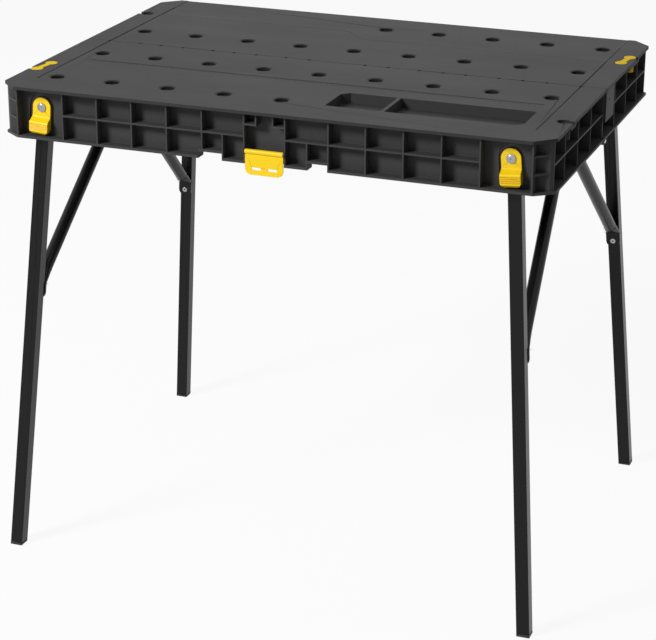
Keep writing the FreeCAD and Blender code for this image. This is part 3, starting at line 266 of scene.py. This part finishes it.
class Surfaces:
    """Shader groups that several finishes share, each built once."""

    groups: dict[str, bpy.types.NodeTree] = {}
    noise_roughness = 0.55
    noise_middle = 0.5
    rub_start = 0.53
    rub_gain = 12.0
    dust_falloff = 3.0

    @staticmethod
    def start(name: str, inputs: dict[str, float], outputs: tuple[str, ...]) -> bpy.types.NodeTree:
        """Makes an empty group with named number sockets.

        Args:
            name: The group's name.
            inputs: Number inputs and their defaults.
            outputs: Number outputs.

        Returns:
            The new group.
        """
        tree = bpy.data.node_groups.new(name, "ShaderNodeTree")
        for socket, value in inputs.items():
            made = tree.interface.new_socket(socket, in_out="INPUT", socket_type="NodeSocketFloat")
            made.default_value = value
        for socket in outputs:
            tree.interface.new_socket(socket, in_out="OUTPUT", socket_type="NodeSocketFloat")
        tree.nodes.new("NodeGroupInput").name = "in"
        tree.nodes.new("NodeGroupOutput").name = "out"
        return tree

    @staticmethod
    def noise(tree: bpy.types.NodeTree, pattern: Pattern) -> bpy.types.Node:
        """Adds a noise pattern on the object's own coordinates.

        Args:
            tree: The tree to add to.
            pattern: The pattern to add.

        Returns:
            The noise node.
        """
        place = tree.nodes.new("ShaderNodeTexCoord")
        mapping = tree.nodes.new("ShaderNodeMapping")
        mapping.inputs["Scale"].default_value = pattern.stretch
        noise = tree.nodes.new("ShaderNodeTexNoise")
        noise.inputs["Scale"].default_value = pattern.scale
        noise.inputs["Detail"].default_value = pattern.detail
        noise.inputs["Roughness"].default_value = Surfaces.noise_roughness
        tree.links.new(place.outputs["Object"], mapping.inputs["Vector"])
        tree.links.new(mapping.outputs["Vector"], noise.inputs["Vector"])
        return noise

    @staticmethod
    def math(tree: bpy.types.NodeTree, operation: str, first: bpy.types.NodeSocket | float,
             second: bpy.types.NodeSocket | float, clamp: bool = False) -> bpy.types.NodeSocket:
        """Adds one sum and returns its result.

        Args:
            tree: The tree to add to.
            operation: The sum's name.
            first: A socket or a number.
            second: A socket or a number.
            clamp: Whether the result is kept between 0 and 1.

        Returns:
            The result's socket.
        """
        node = tree.nodes.new("ShaderNodeMath")
        node.operation = operation
        node.use_clamp = clamp
        for socket, value in zip(node.inputs, (first, second)):
            if isinstance(value, (int, float)):
                socket.default_value = value
            else:
                tree.links.new(value, socket)
        return node.outputs[0]

    @classmethod
    def grain(cls) -> bpy.types.NodeTree:
        """The fine moulded grain: a height, and how rough and how pale each spot is.

        Returns:
            A group with Height, Rough and Tone outputs.
        """
        if "moulded grain" in cls.groups:
            return cls.groups["moulded grain"]
        tree = cls.start("moulded grain", {"Fine": 1.0, "Cloud": 1.0}, ("Height", "Rough", "Tone"))
        take, give = tree.nodes["in"], tree.nodes["out"]
        fine = cls.noise(tree, FINE_GRAIN)
        cloud = cls.noise(tree, CLOUDS)
        spark = cls.noise(tree, SPECKS)
        height = cls.math(tree, "MULTIPLY", fine.outputs["Fac"], take.outputs["Fine"])
        soft = cls.math(tree, "SUBTRACT", cloud.outputs["Fac"], cls.noise_middle)
        rough = cls.math(tree, "MULTIPLY", soft, take.outputs["Cloud"])
        speck = cls.math(tree, "SUBTRACT", spark.outputs["Fac"], cls.noise_middle)
        tone = cls.math(tree, "ADD", rough, speck)
        tree.links.new(height, give.inputs["Height"])
        tree.links.new(rough, give.inputs["Rough"])
        tree.links.new(tone, give.inputs["Tone"])
        cls.groups["moulded grain"] = tree
        return tree

    @classmethod
    def rub(cls) -> bpy.types.NodeTree:
        """Where edges are rubbed pale, from how much the surface sticks out.

        Returns:
            A group with one Mask output.
        """
        if "edge rub" in cls.groups:
            return cls.groups["edge rub"]
        tree = cls.start("edge rub", {"Amount": 1.0}, ("Mask",))
        take, give = tree.nodes["in"], tree.nodes["out"]
        shape = tree.nodes.new("ShaderNodeNewGeometry")
        broken = cls.noise(tree, BROKEN_RUB)
        edge = cls.math(tree, "SUBTRACT", shape.outputs["Pointiness"], cls.rub_start)
        edge = cls.math(tree, "MULTIPLY", edge, cls.rub_gain, clamp=True)
        patchy = cls.math(tree, "MULTIPLY", edge, broken.outputs["Fac"])
        mask = cls.math(tree, "MULTIPLY", patchy, take.outputs["Amount"], clamp=True)
        tree.links.new(mask, give.inputs["Mask"])
        cls.groups["edge rub"] = tree
        return tree

    @classmethod
    def dust(cls) -> bpy.types.NodeTree:
        """A thin film of dust on faces that look up.

        Returns:
            A group with one Mask output.
        """
        if "dust film" in cls.groups:
            return cls.groups["dust film"]
        tree = cls.start("dust film", {"Amount": 1.0}, ("Mask",))
        take, give = tree.nodes["in"], tree.nodes["out"]
        shape = tree.nodes.new("ShaderNodeNewGeometry")
        split = tree.nodes.new("ShaderNodeSeparateXYZ")
        tree.links.new(shape.outputs["Normal"], split.inputs[0])
        patch = cls.noise(tree, DUST_PATCHES)
        up = cls.math(tree, "MAXIMUM", split.outputs["Z"], 0.0)
        up = cls.math(tree, "POWER", up, cls.dust_falloff)
        film = cls.math(tree, "MULTIPLY", up, patch.outputs["Fac"])
        mask = cls.math(tree, "MULTIPLY", film, take.outputs["Amount"], clamp=True)
        tree.links.new(mask, give.inputs["Mask"])
        cls.groups["dust film"] = tree
        return tree


@dataclass(frozen=True)
class Finish:
    """A procedural finish: colour, gloss, grain, dust and edge wear of one kind of part."""

    name: str
    slot: str
    colour: Colour
    pale: Colour
    roughness: float
    metallic: float = 0.0
    specular: float = 0.5
    grain: float = 1.0
    grain_depth: float = 0.00004
    grain_strength: float = 0.6
    cloud: float = 0.12
    tone: float = 0.25
    dust: float = 0.0
    dust_rough: float = 0.4
    rub: float = 0.3
    # Whether shade is painted near-black into the dog-hole bores and the seam slit
    painted_bore_shade: bool = False

    def material(self) -> bpy.types.Material:
        """Builds the material, or returns it if it was built before.

        Returns:
            The finished material.
        """
        known = bpy.data.materials.get(self.name)
        if known:
            return known
        material = bpy.data.materials.new(self.name)
        material.use_nodes = True
        tree = material.node_tree
        shader = tree.nodes["Principled BSDF"]
        shader.inputs["Metallic"].default_value = self.metallic
        shader.inputs["Specular IOR Level"].default_value = self.specular

        grain = self.place(tree, Surfaces.grain(), Fine=self.grain, Cloud=self.cloud)
        rub = self.place(tree, Surfaces.rub(), Amount=self.rub)
        dust = self.place(tree, Surfaces.dust(), Amount=self.dust)
        rough = Surfaces.math(tree, "ADD", grain.outputs["Rough"], self.roughness)
        film = Surfaces.math(tree, "MULTIPLY", dust.outputs["Mask"], self.dust_rough)
        rough = Surfaces.math(tree, "ADD", rough, film, clamp=True)
        tree.links.new(rough, shader.inputs["Roughness"])

        tone = Surfaces.math(tree, "MULTIPLY", grain.outputs["Tone"], self.tone)
        tone = Surfaces.math(tree, "ADD", tone, rub.outputs["Mask"])
        tone = Surfaces.math(tree, "ADD", tone, dust.outputs["Mask"], clamp=True)
        mix = tree.nodes.new("ShaderNodeMix")
        mix.data_type = "RGBA"
        mix.inputs["A"].default_value = self.colour
        mix.inputs["B"].default_value = self.pale
        tree.links.new(tone, mix.inputs["Factor"])
        colour = mix.outputs["Result"]
        # Painted shade: the dog-hole bores and the seam slit go near-black
        if self.painted_bore_shade:
            colour = self.add_bores(tree, colour)
        tree.links.new(colour, shader.inputs["Base Color"])
        bump = tree.nodes.new("ShaderNodeBump")
        bump.inputs["Strength"].default_value = self.grain_strength
        bump.inputs["Distance"].default_value = self.grain_depth
        tree.links.new(grain.outputs["Height"], bump.inputs["Height"])
        tree.links.new(bump.outputs["Normal"], shader.inputs["Normal"])
        return material

    @staticmethod
    def place(tree: bpy.types.NodeTree, group: bpy.types.NodeTree, **values: float) -> bpy.types.Node:
        """Places a shared group in a material with its own values.

        Args:
            tree: The material's tree.
            group: The shared group.
            values: The group's inputs.

        Returns:
            The placed group.
        """
        node = tree.nodes.new("ShaderNodeGroup")
        node.node_tree = group
        for key, value in values.items():
            node.inputs[key].default_value = value
        return node

    @staticmethod
    def add_bores(tree: bpy.types.NodeTree, colour: bpy.types.NodeSocket) -> bpy.types.NodeSocket:
        """Paints shade near-black into the bores of the dog holes and into the seam slit.

        Args:
            tree: The material's tree.
            colour: The colour so far.

        Returns:
            The colour with the painted shade in the bores and the seam slit in it.
        """
        place = tree.nodes.new("ShaderNodeTexCoord")
        split = tree.nodes.new("ShaderNodeSeparateXYZ")
        tree.links.new(place.outputs["Object"], split.inputs[0])
        x, z = split.outputs["X"], split.outputs["Z"]
        away = Surfaces.math(tree, "ABSOLUTE", split.outputs["Y"], 0.0)
        along = Surfaces.math(tree, "PINGPONG", x, DOG_PITCH / 2)
        rows = (DOG_ROWS[0] + DOG_ROWS[1]) / 2
        across = Surfaces.math(tree, "ABSOLUTE", Surfaces.math(tree, "SUBTRACT", away, rows), 0.0)
        across = Surfaces.math(tree, "SUBTRACT", across, (DOG_ROWS[1] - DOG_ROWS[0]) / 2)
        square = Surfaces.math(tree, "ADD", Surfaces.math(tree, "MULTIPLY", along, along),
                               Surfaces.math(tree, "MULTIPLY", across, across))
        bore_shade_mask = Surfaces.math(tree, "LESS_THAN", square, DOG_RADIUS ** 2)
        deep = Surfaces.math(tree, "LESS_THAN", z, TOP_HEIGHT - BORE_SHADE_DEPTH)
        bore_shade_mask = Surfaces.math(tree, "MULTIPLY", bore_shade_mask, deep)
        seam_shade_mask = Surfaces.math(tree, "LESS_THAN", away, SEAM_REACH)
        sunk = Surfaces.math(tree, "LESS_THAN", z, TOP_HEIGHT - SEAM_SHADE_DEPTH)
        seam_shade_mask = Surfaces.math(tree, "MULTIPLY", seam_shade_mask, sunk)
        mask = Surfaces.math(tree, "MAXIMUM", bore_shade_mask, seam_shade_mask)
        mix = tree.nodes.new("ShaderNodeMix")
        mix.data_type = "RGBA"
        mix.inputs["B"].default_value = PAINTED_SHADE_BLACK
        tree.links.new(mask, mix.inputs["Factor"])
        tree.links.new(colour, mix.inputs["A"])
        return mix.outputs["Result"]


# Finishes of the bench's parts
# The top's finish paints shade into the dog-hole bores and the seam slit
TOP_PLASTIC = Finish("top_moulding", "top_plastic", (0.027, 0.027, 0.028, 1), WORN_BLACK,
                     roughness=0.62, specular=0.13, dust=0.07, rub=0.25, painted_bore_shade=True)
# The scale marks are the top's own moulding; their near-black colour is painted shade
SHADED_MARK_PLASTIC = Finish("scale_marks_painted_shade", "top_plastic", (0.006, 0.006, 0.006, 1), (0.04, 0.04, 0.04, 1),
                      roughness=0.7, specular=0.08, tone=0.15, rub=0.1)
APRON_PLASTIC = Finish("apron_moulding", "apron_plastic", (0.043, 0.043, 0.044, 1), WORN_BLACK,
                       roughness=0.58, specular=0.15, dust=0.03, tone=0.22)
LEG_PAINT = Finish("leg_powder_coat", "leg_paint", (0.005, 0.005, 0.0055, 1), (0.04, 0.04, 0.04, 1),
                   roughness=0.27, specular=0.20, grain=0.8, grain_depth=0.00003, cloud=0.08, tone=0.10,
                   rub=0.2)
FOOT_PLASTIC = Finish("foot_cap_plastic", "foot_plastic", (0.006, 0.006, 0.006, 1), (0.05, 0.05, 0.05, 1),
                      roughness=0.6, dust=0.05, rub=0.5)
YELLOW_PLASTIC = Finish("signal_yellow", "signal_plastic", YELLOW, WORN_YELLOW,
                        roughness=0.34, specular=0.25, grain=0.6, cloud=0.10, tone=0.20, rub=0.4)
LINK_PLASTIC = Finish("matt_yellow", "signal_plastic", YELLOW, WORN_YELLOW,
                      roughness=0.62, specular=0.06, grain=0.8, cloud=0.10, tone=0.15, rub=0.2)
ZINC = Finish("zinc_plate", "zinc", (0.38, 0.38, 0.385, 1), (0.72, 0.72, 0.72, 1),
              roughness=0.26, metallic=1.0, grain=0.7, cloud=0.25, tone=0.5, rub=0.4)
# Blackened steel; on the axle brackets its near-black is also painted shade, darkening the window around
# each latch
DARK_STEEL_AND_SHADE = Finish("blackened_steel", "dark_steel", (0.02, 0.02, 0.02, 1), (0.06, 0.06, 0.06, 1),
                    roughness=0.5, rub=0.2)


@dataclass
class DressedNode:
    """A CAD node shown as a cleaned copy with rounded edges and a finish."""

    node: str
    body: str
    finish: Finish
    edge: float
    segments: int = 2
    flat_top: bool = False

    def build(self) -> bpy.types.Object:
        """Copies, rounds and dresses the node.

        Returns:
            The piece that stands for the node.
        """
        piece = Hands.merged_copy(self.node, self.node + "_shown")
        Hands.ease_edges(piece, self.edge, self.segments)
        if self.flat_top:
            Hands.level_top(piece)
        return dress(piece, self.body, self.finish, self.node)


def dress(piece: bpy.types.Object, body: str, finish: Finish, *nodes: str) -> bpy.types.Object:
    """Gives a piece its finish and its body, and hides the CAD nodes that it stands for.

    Args:
        piece: The finished mesh object.
        body: The body that it moves with.
        finish: Its finish.
        nodes: The CAD nodes that it replaces.

    Returns:
        The same piece.
    """
    piece.data.materials.clear()
    piece.data.materials.append(finish.material())
    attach(piece, body)
    if nodes:
        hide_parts(*nodes)
    LOG.info("%s: %d faces on %s", piece.name, len(piece.data.polygons), body)
    return piece


@dataclass
class HalfTop:
    """One half of the worktop with its ribbed aprons, seam wall, axles and brackets."""

    half: Half
    moulded_edge: float = 0.0006
    steel_edge: float = 0.0003
    spring_edge: float = 0.0001
    spring_wall: float = 0.2805
    spring_keep: float = 0.5

    def build(self) -> None:
        """Builds the mouldings and the metal parts fixed in them."""
        name, body = self.half.label, self.half.label + "_half"
        DressedNode(name + "_deck", body, TOP_PLASTIC, self.moulded_edge, flat_top=True).build()
        for wall in ("_apron", "_left_end_apron", "_right_end_apron", "_seam_wall"):
            DressedNode(name + wall, body, APRON_PLASTIC, self.moulded_edge).build()
        for hand in Hand:
            corner = "%s_%s" % (name, hand.label)
            DressedNode(corner + "_axle", body, ZINC, self.steel_edge).build()
            # The brackets' near-black also stands in for the shade in the latch windows: painted shade
            DressedNode(corner + "_axle_brackets", body, DARK_STEEL_AND_SHADE, self.steel_edge).build()
            spring = DressedNode(corner + "_latch_spring", body, ZINC, self.spring_edge).build()
            wall = Vector((0.0, -self.half.value * self.spring_wall, 0.0))
            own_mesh(spring)


@dataclass
class LegFrame:
    """A leg tube with its foot cap, brace and rivet."""

    half: Half
    hand: Hand
    tube_edge: float = 0.0013
    cap_edge: float = 0.0009
    steel_edge: float = 0.0003
    segments: int = 3

    def build(self) -> None:
        """Builds the four parts of the frame."""
        corner = "%s_%s" % (self.half.label, self.hand.label)
        body = corner + "_leg"
        DressedNode(corner + "_leg_tube", body, LEG_PAINT, self.tube_edge, self.segments).build()
        DressedNode(corner + "_foot_cap", body, FOOT_PLASTIC, self.cap_edge, self.segments).build()
        DressedNode(corner + "_brace", body, LEG_PAINT, self.steel_edge).build()
        DressedNode(corner + "_brace_rivet", body, ZINC, self.steel_edge).build()


@dataclass
class Latch:
    """A yellow leg latch."""

    half: Half
    hand: Hand
    edge: float = 0.0009
    segments: int = 3

    def build(self) -> None:
        """Builds the latch, which is a body of its own name."""
        name = "%s_%s_latch" % (self.half.label, self.hand.label)
        DressedNode(name, name, YELLOW_PLASTIC, self.edge, self.segments).build()


@dataclass
class RulerMarks:
    """The scale beside the ruler groove: long and short raised marks, turn and turn about."""

    row: float = -0.1200
    reach: float = 0.360
    pitch: float = 0.010
    long_mark: float = 0.0085
    short_mark: float = 0.0060
    width: float = 0.0010
    rise: float = 0.00012
    sunk: float = 0.0006
    taper: Point = (0.7, 0.96, 1.0)
    edge: float = 0.00008
    edge_angle: float = 40.0

    def build(self) -> None:
        """Models both kinds of mark and dresses them."""
        count = round(2 * self.reach / self.pitch)
        self.marks("ruler_long_marks", -self.reach, self.long_mark, count + 1)
        self.marks("ruler_short_marks", -self.reach + self.pitch / 2, self.short_mark, count)

    def marks(self, name: str, start: float, length: float, count: int) -> None:
        """Models one mark with tapered sides and repeats it along the groove.

        Args:
            name: The piece's name.
            start: X of the first mark.
            length: How far a mark reaches from the groove.
            count: How many marks there are.
        """
        Hands.clear()
        height = self.rise + self.sunk
        middle = (start, self.row - length / 2, TOP_HEIGHT + self.rise - height / 2)
        bpy.ops.mesh.primitive_cube_add(size=1.0, location=middle)
        mark = Hands.name_new(name)
        mark.scale = (self.width, length, height)
        Hands.settle(mark)
        Hands.pick_faces(mark, lambda face: face.normal.z > FACING)
        bpy.ops.transform.resize(value=self.taper, center_override=middle)
        Hands.clear()
        Hands.ease_edges(mark, self.edge, angle=self.edge_angle)
        Hands.modify(mark, "ARRAY", count=count, use_relative_offset=False, use_constant_offset=True,
                     constant_offset_displace=(self.pitch, 0.0, 0.0))
        # Near-black marks: painted shade
        dress(mark, "front_half", SHADED_MARK_PLASTIC)


@dataclass
class WasherScrews:
    """The four latch screws: a flat washer, a low dome with a cross recess, and a shank."""

    washer_radius: float = 0.0070
    washer: float = 0.0005
    sides: int = 48
    dome_radius: float = 0.0054
    head: float = 0.0016
    dome_steps: int = 5
    dome_turn: float = 80.0
    shank_radius: float = 0.0020
    tip_taper: float = 0.5
    cross_length: float = 0.0056
    cross_width: float = 0.0012
    cross_depth: float = 0.0012
    cross_taper: float = 0.55
    cross_turns: tuple[float, float] = (0.0, 90.0)
    edge: float = 0.00015
    edge_angle: float = 40.0
    turns: dict[tuple[Half, Hand], float] = field(default_factory=lambda: {
        (Half.FRONT, Hand.LEFT): 12.0, (Half.FRONT, Hand.RIGHT): 38.0,
        (Half.REAR, Hand.LEFT): 64.0, (Half.REAR, Hand.RIGHT): 21.0,
    })

    def build(self) -> None:
        """Models one screw and sets a copy of it in each latch."""
        low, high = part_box("front_left_latch_screw")
        pattern = self.model(high.y - low.y)
        for (half, hand), turn in self.turns.items():
            self.set_in(pattern, half, hand, turn)
        bpy.data.objects.remove(pattern)

    def model(self, length: float) -> bpy.types.Object:
        """Models the screw on end, its head's top at the origin.

        Args:
            length: From the head's top to the shank's tip.

        Returns:
            The screw that the others are copied from.
        """
        Hands.clear()
        middle = self.washer / 2 - self.head
        bpy.ops.mesh.primitive_cylinder_add(vertices=self.sides, radius=self.washer_radius,
                                            depth=self.washer, location=(0.0, 0.0, middle))
        screw = Hands.name_new("screw_pattern")
        Hands.settle(screw)
        self.raise_dome(screw)
        self.draw_shank(screw, length)
        for turn in self.cross_turns:
            self.cut_cross(screw, turn)
        Hands.ease_edges(screw, self.edge, angle=self.edge_angle)
        return screw

    def raise_dome(self, screw: bpy.types.Object) -> None:
        """Insets the washer's top and draws it up in rings that close to a dome.

        Args:
            screw: The screw so far, a plain washer.
        """
        Hands.pick_faces(screw, lambda face: face.normal.z > FACING)
        bpy.ops.mesh.inset(thickness=self.washer_radius - self.dome_radius)
        rise, radius = self.head - self.washer, 1.0
        for step in range(1, self.dome_steps + 1):
            turn = math.radians(self.dome_turn * step / self.dome_steps)
            before = math.radians(self.dome_turn * (step - 1) / self.dome_steps)
            lift = rise * (math.sin(turn) - math.sin(before)) / math.sin(math.radians(self.dome_turn))
            bpy.ops.mesh.extrude_region_move(TRANSFORM_OT_translate={"value": (0.0, 0.0, lift)})
            shrink = math.cos(turn) / radius
            bpy.ops.transform.resize(value=(shrink, shrink, 1.0), center_override=ORIGIN)
            radius = math.cos(turn)
        Hands.clear()

    def draw_shank(self, screw: bpy.types.Object, length: float) -> None:
        """Draws the shank out of the washer's underside, with a tapered tip.

        Args:
            screw: The screw so far.
            length: From the head's top to the shank's tip.
        """
        Hands.pick_faces(screw, lambda face: face.normal.z < -FACING)
        bpy.ops.mesh.inset(thickness=self.washer_radius - self.shank_radius)
        straight = length - self.head - self.shank_radius
        bpy.ops.mesh.extrude_region_move(TRANSFORM_OT_translate={"value": (0.0, 0.0, -straight)})
        bpy.ops.mesh.extrude_region_move(TRANSFORM_OT_translate={"value": (0.0, 0.0, -self.shank_radius)})
        bpy.ops.transform.resize(value=(self.tip_taper, self.tip_taper, 1.0), center_override=ORIGIN)
        Hands.clear()

    def cut_cross(self, screw: bpy.types.Object, turn: float) -> None:
        """Cuts one tapered bar of the cross recess into the dome.

        Args:
            screw: The screw so far.
            turn: The bar's turn about the screw, in degrees.
        """
        Hands.clear()
        bpy.ops.mesh.primitive_cube_add(size=1.0)
        bar = Hands.name_new("cross_bar")
        bar.scale = (self.cross_length, self.cross_width, self.cross_depth * 2)
        Hands.settle(bar)
        Hands.pick_faces(bar, lambda face: face.normal.z < -FACING)
        bpy.ops.transform.resize(value=(self.cross_taper, self.cross_taper, 1.0), center_override=ORIGIN)
        Hands.clear()
        bar.rotation_euler.z = math.radians(turn)
        Hands.settle(bar)
        Hands.modify(screw, "BOOLEAN", operation="DIFFERENCE", object=bar, solver="EXACT")
        bpy.data.objects.remove(bar)

    @staticmethod
    def set_in(pattern: bpy.types.Object, half: Half, hand: Hand, turn: float) -> None:
        """Copies the screw into one latch.

        Args:
            pattern: The modelled screw.
            half: The half top that it is in.
            hand: The end of the bench.
            turn: How far the screw was turned, in degrees.
        """
        node = "%s_%s_latch_screw" % (half.label, hand.label)
        low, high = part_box(node)
        Hands.take(pattern)
        bpy.ops.object.duplicate()
        screw = Hands.name_new(node + "_shown")
        screw.data.transform(Matrix.Rotation(math.radians(turn), 4, "Z"))
        outer = low.y if half is Half.FRONT else high.y
        screw.location = ((low.x + high.x) / 2, outer, (low.z + high.z) / 2)
        screw.rotation_euler = (math.radians(90.0 * half.value), 0.0, 0.0)
        Hands.settle(screw)
        dress(screw, half.label + "_half", ZINC, node)


@dataclass
class CaseFittings:
    """The hinge pin, the hasp with its pin and keeper, and the two links."""

    edge: float = 0.0004

    def build(self) -> None:
        """Builds the fittings."""
        DressedNode("hinge_pin", "front_half", ZINC, self.edge).build()
        DressedNode("hasp", "hasp", YELLOW_PLASTIC, self.edge).build()
        DressedNode("hasp_pin", "front_half", ZINC, self.edge).build()
        DressedNode("hasp_keeper", "rear_half", DARK_STEEL_AND_SHADE, self.edge).build()
        for corner in ("front_left", "rear_right"):
            DressedNode(corner + "_link", corner + "_link", LINK_PLASTIC, self.edge).build()


@dataclass
class Studio:
    """The pale floor, the soft light and the camera at the photograph's angle."""

    image: tuple[int, int] = (656, 640)
    focal_px: float = 2175.15
    centre_px: tuple[float, float] = (322.57, 330.02)
    azimuth: float = 20.529
    elevation: float = 21.354
    roll: float = 0.209
    eye: Point = (1.1271, -3.0687, 1.5829)
    sensor_mm: float = 36.0
    ambient: float = 0.15
    floor_size: float = 14.0
    floor_colour: Colour = (0.86, 0.86, 0.86, 1.0)
    floor_roughness: float = 0.9
    floor_white: float = 0.92
    aim: Point = (0.0, 0.0, 0.5)
    lamps: list[tuple[str, Point, float, float]] = field(default_factory=lambda: [
        ("key", (-2.1, -3.0, 2.9), 1.2, 175.0),
        ("back", (-0.8, 2.8, 2.6), 2.4, 18.0),
    ])

    def build(self) -> None:
        """Sets up the view, the world, the floor, the lamps and the camera."""
        bpy.context.scene.view_settings.view_transform = "Standard"
        self.world()
        self.floor()
        for lamp in self.lamps:
            self.lamp(*lamp)
        self.camera()

    def world(self) -> None:
        """A white surround for the camera and for reflections, softer for the light it gives."""
        world = bpy.data.worlds.new("studio")
        bpy.context.scene.world = world
        world.use_nodes = True
        tree = world.node_tree
        tree.nodes.clear()
        out = tree.nodes.new("ShaderNodeOutputWorld")
        soft, white = tree.nodes.new("ShaderNodeBackground"), tree.nodes.new("ShaderNodeBackground")
        for background in (soft, white):
            background.inputs["Color"].default_value = WHITE
        soft.inputs["Strength"].default_value = self.ambient
        path = tree.nodes.new("ShaderNodeLightPath")
        seen = self.seen_as_white(tree, path)
        mix = tree.nodes.new("ShaderNodeMixShader")
        tree.links.new(seen, mix.inputs[0])
        tree.links.new(soft.outputs[0], mix.inputs[1])
        tree.links.new(white.outputs[0], mix.inputs[2])
        tree.links.new(mix.outputs[0], out.inputs["Surface"])

    @staticmethod
    def seen_as_white(tree: bpy.types.NodeTree, path: bpy.types.Node) -> bpy.types.NodeSocket:
        """Gives a socket that is 1 for the rays that see the surround as plain white."""
        some = Surfaces.math(tree, "MAXIMUM", path.outputs["Is Camera Ray"], path.outputs["Is Glossy Ray"])
        return Surfaces.math(tree, "MAXIMUM", some, path.outputs["Is Transmission Ray"])

    def floor(self) -> None:
        """A plain pale floor that keeps a soft shadow."""
        Hands.clear()
        bpy.ops.mesh.primitive_plane_add(size=self.floor_size, location=ORIGIN)
        floor = Hands.name_new("floor")
        material = bpy.data.materials.new("pale_floor")
        material.use_nodes = True
        tree = material.node_tree
        shader = tree.nodes["Principled BSDF"]
        shader.inputs["Base Color"].default_value = self.floor_colour
        shader.inputs["Roughness"].default_value = self.floor_roughness
        shader.inputs["Specular IOR Level"].default_value = 0.0
        glow = tree.nodes.new("ShaderNodeEmission")
        glow.inputs["Strength"].default_value = 1.0
        path = tree.nodes.new("ShaderNodeLightPath")
        seen = self.seen_as_white(tree, path)
        share = Surfaces.math(tree, "MULTIPLY", seen, self.floor_white)
        mix = tree.nodes.new("ShaderNodeMixShader")
        tree.links.new(share, mix.inputs[0])
        tree.links.new(shader.outputs[0], mix.inputs[1])
        tree.links.new(glow.outputs[0], mix.inputs[2])
        tree.links.new(mix.outputs[0], tree.nodes["Material Output"].inputs["Surface"])
        floor.data.materials.append(material)

    def lamp(self, name: str, place: Point, size: float, power: float) -> None:
        """Adds a broad soft lamp that looks at the bench.

        Args:
            name: The lamp's name.
            place: Where it hangs.
            size: Its width.
            power: Its power in watts.
        """
        data = bpy.data.lights.new(name, "AREA")
        data.shape = "DISK"
        data.size = size
        data.energy = power
        lamp = bpy.data.objects.new(name, data)
        bpy.context.scene.collection.objects.link(lamp)
        lamp.location = place
        away = Vector(place) - Vector(self.aim)
        lamp.rotation_euler = away.to_track_quat("Z", "Y").to_euler()

    def camera(self) -> None:
        """Adds the camera that was fitted to the photograph's edges and hole grid."""
        width, height = self.image
        data = bpy.data.cameras.new("camera")
        data.sensor_fit = "HORIZONTAL"
        data.sensor_width = self.sensor_mm
        data.lens = self.focal_px * self.sensor_mm / width
        data.shift_x = (width / 2 - self.centre_px[0]) / width
        data.shift_y = (self.centre_px[1] - height / 2) / width
        camera = bpy.data.objects.new("camera", data)
        bpy.context.scene.collection.objects.link(camera)
        turn, rise, roll = (math.radians(a) for a in (self.azimuth, self.elevation, self.roll))
        back = Vector((math.sin(turn) * math.cos(rise), -math.cos(turn) * math.cos(rise), math.sin(rise)))
        right = Vector((math.cos(turn), math.sin(turn), 0.0))
        up = back.cross(right)
        side = right * math.cos(roll) + up * math.sin(roll)
        top = up * math.cos(roll) - right * math.sin(roll)
        matrix = camera.matrix_world.to_3x3()
        for row, parts in enumerate(zip(side, top, back)):
            matrix[row] = parts
        camera.matrix_world = matrix.to_4x4()
        camera.location = self.eye
        bpy.context.scene.camera = camera


def main() -> None:
    """Builds the bench's sub-assemblies in order, then the studio."""
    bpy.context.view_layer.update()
    for half in Half:
        HalfTop(half).build()
        for hand in Hand:
            LegFrame(half, hand).build()
            Latch(half, hand).build()
    RulerMarks().build()
    WasherScrews().build()
    CaseFittings().build()
    Studio().build()
    Hands.clear()


if __name__ == "__main__":
    logging.basicConfig(level=logging.INFO, format="%(name)s: %(message)s")
    main()
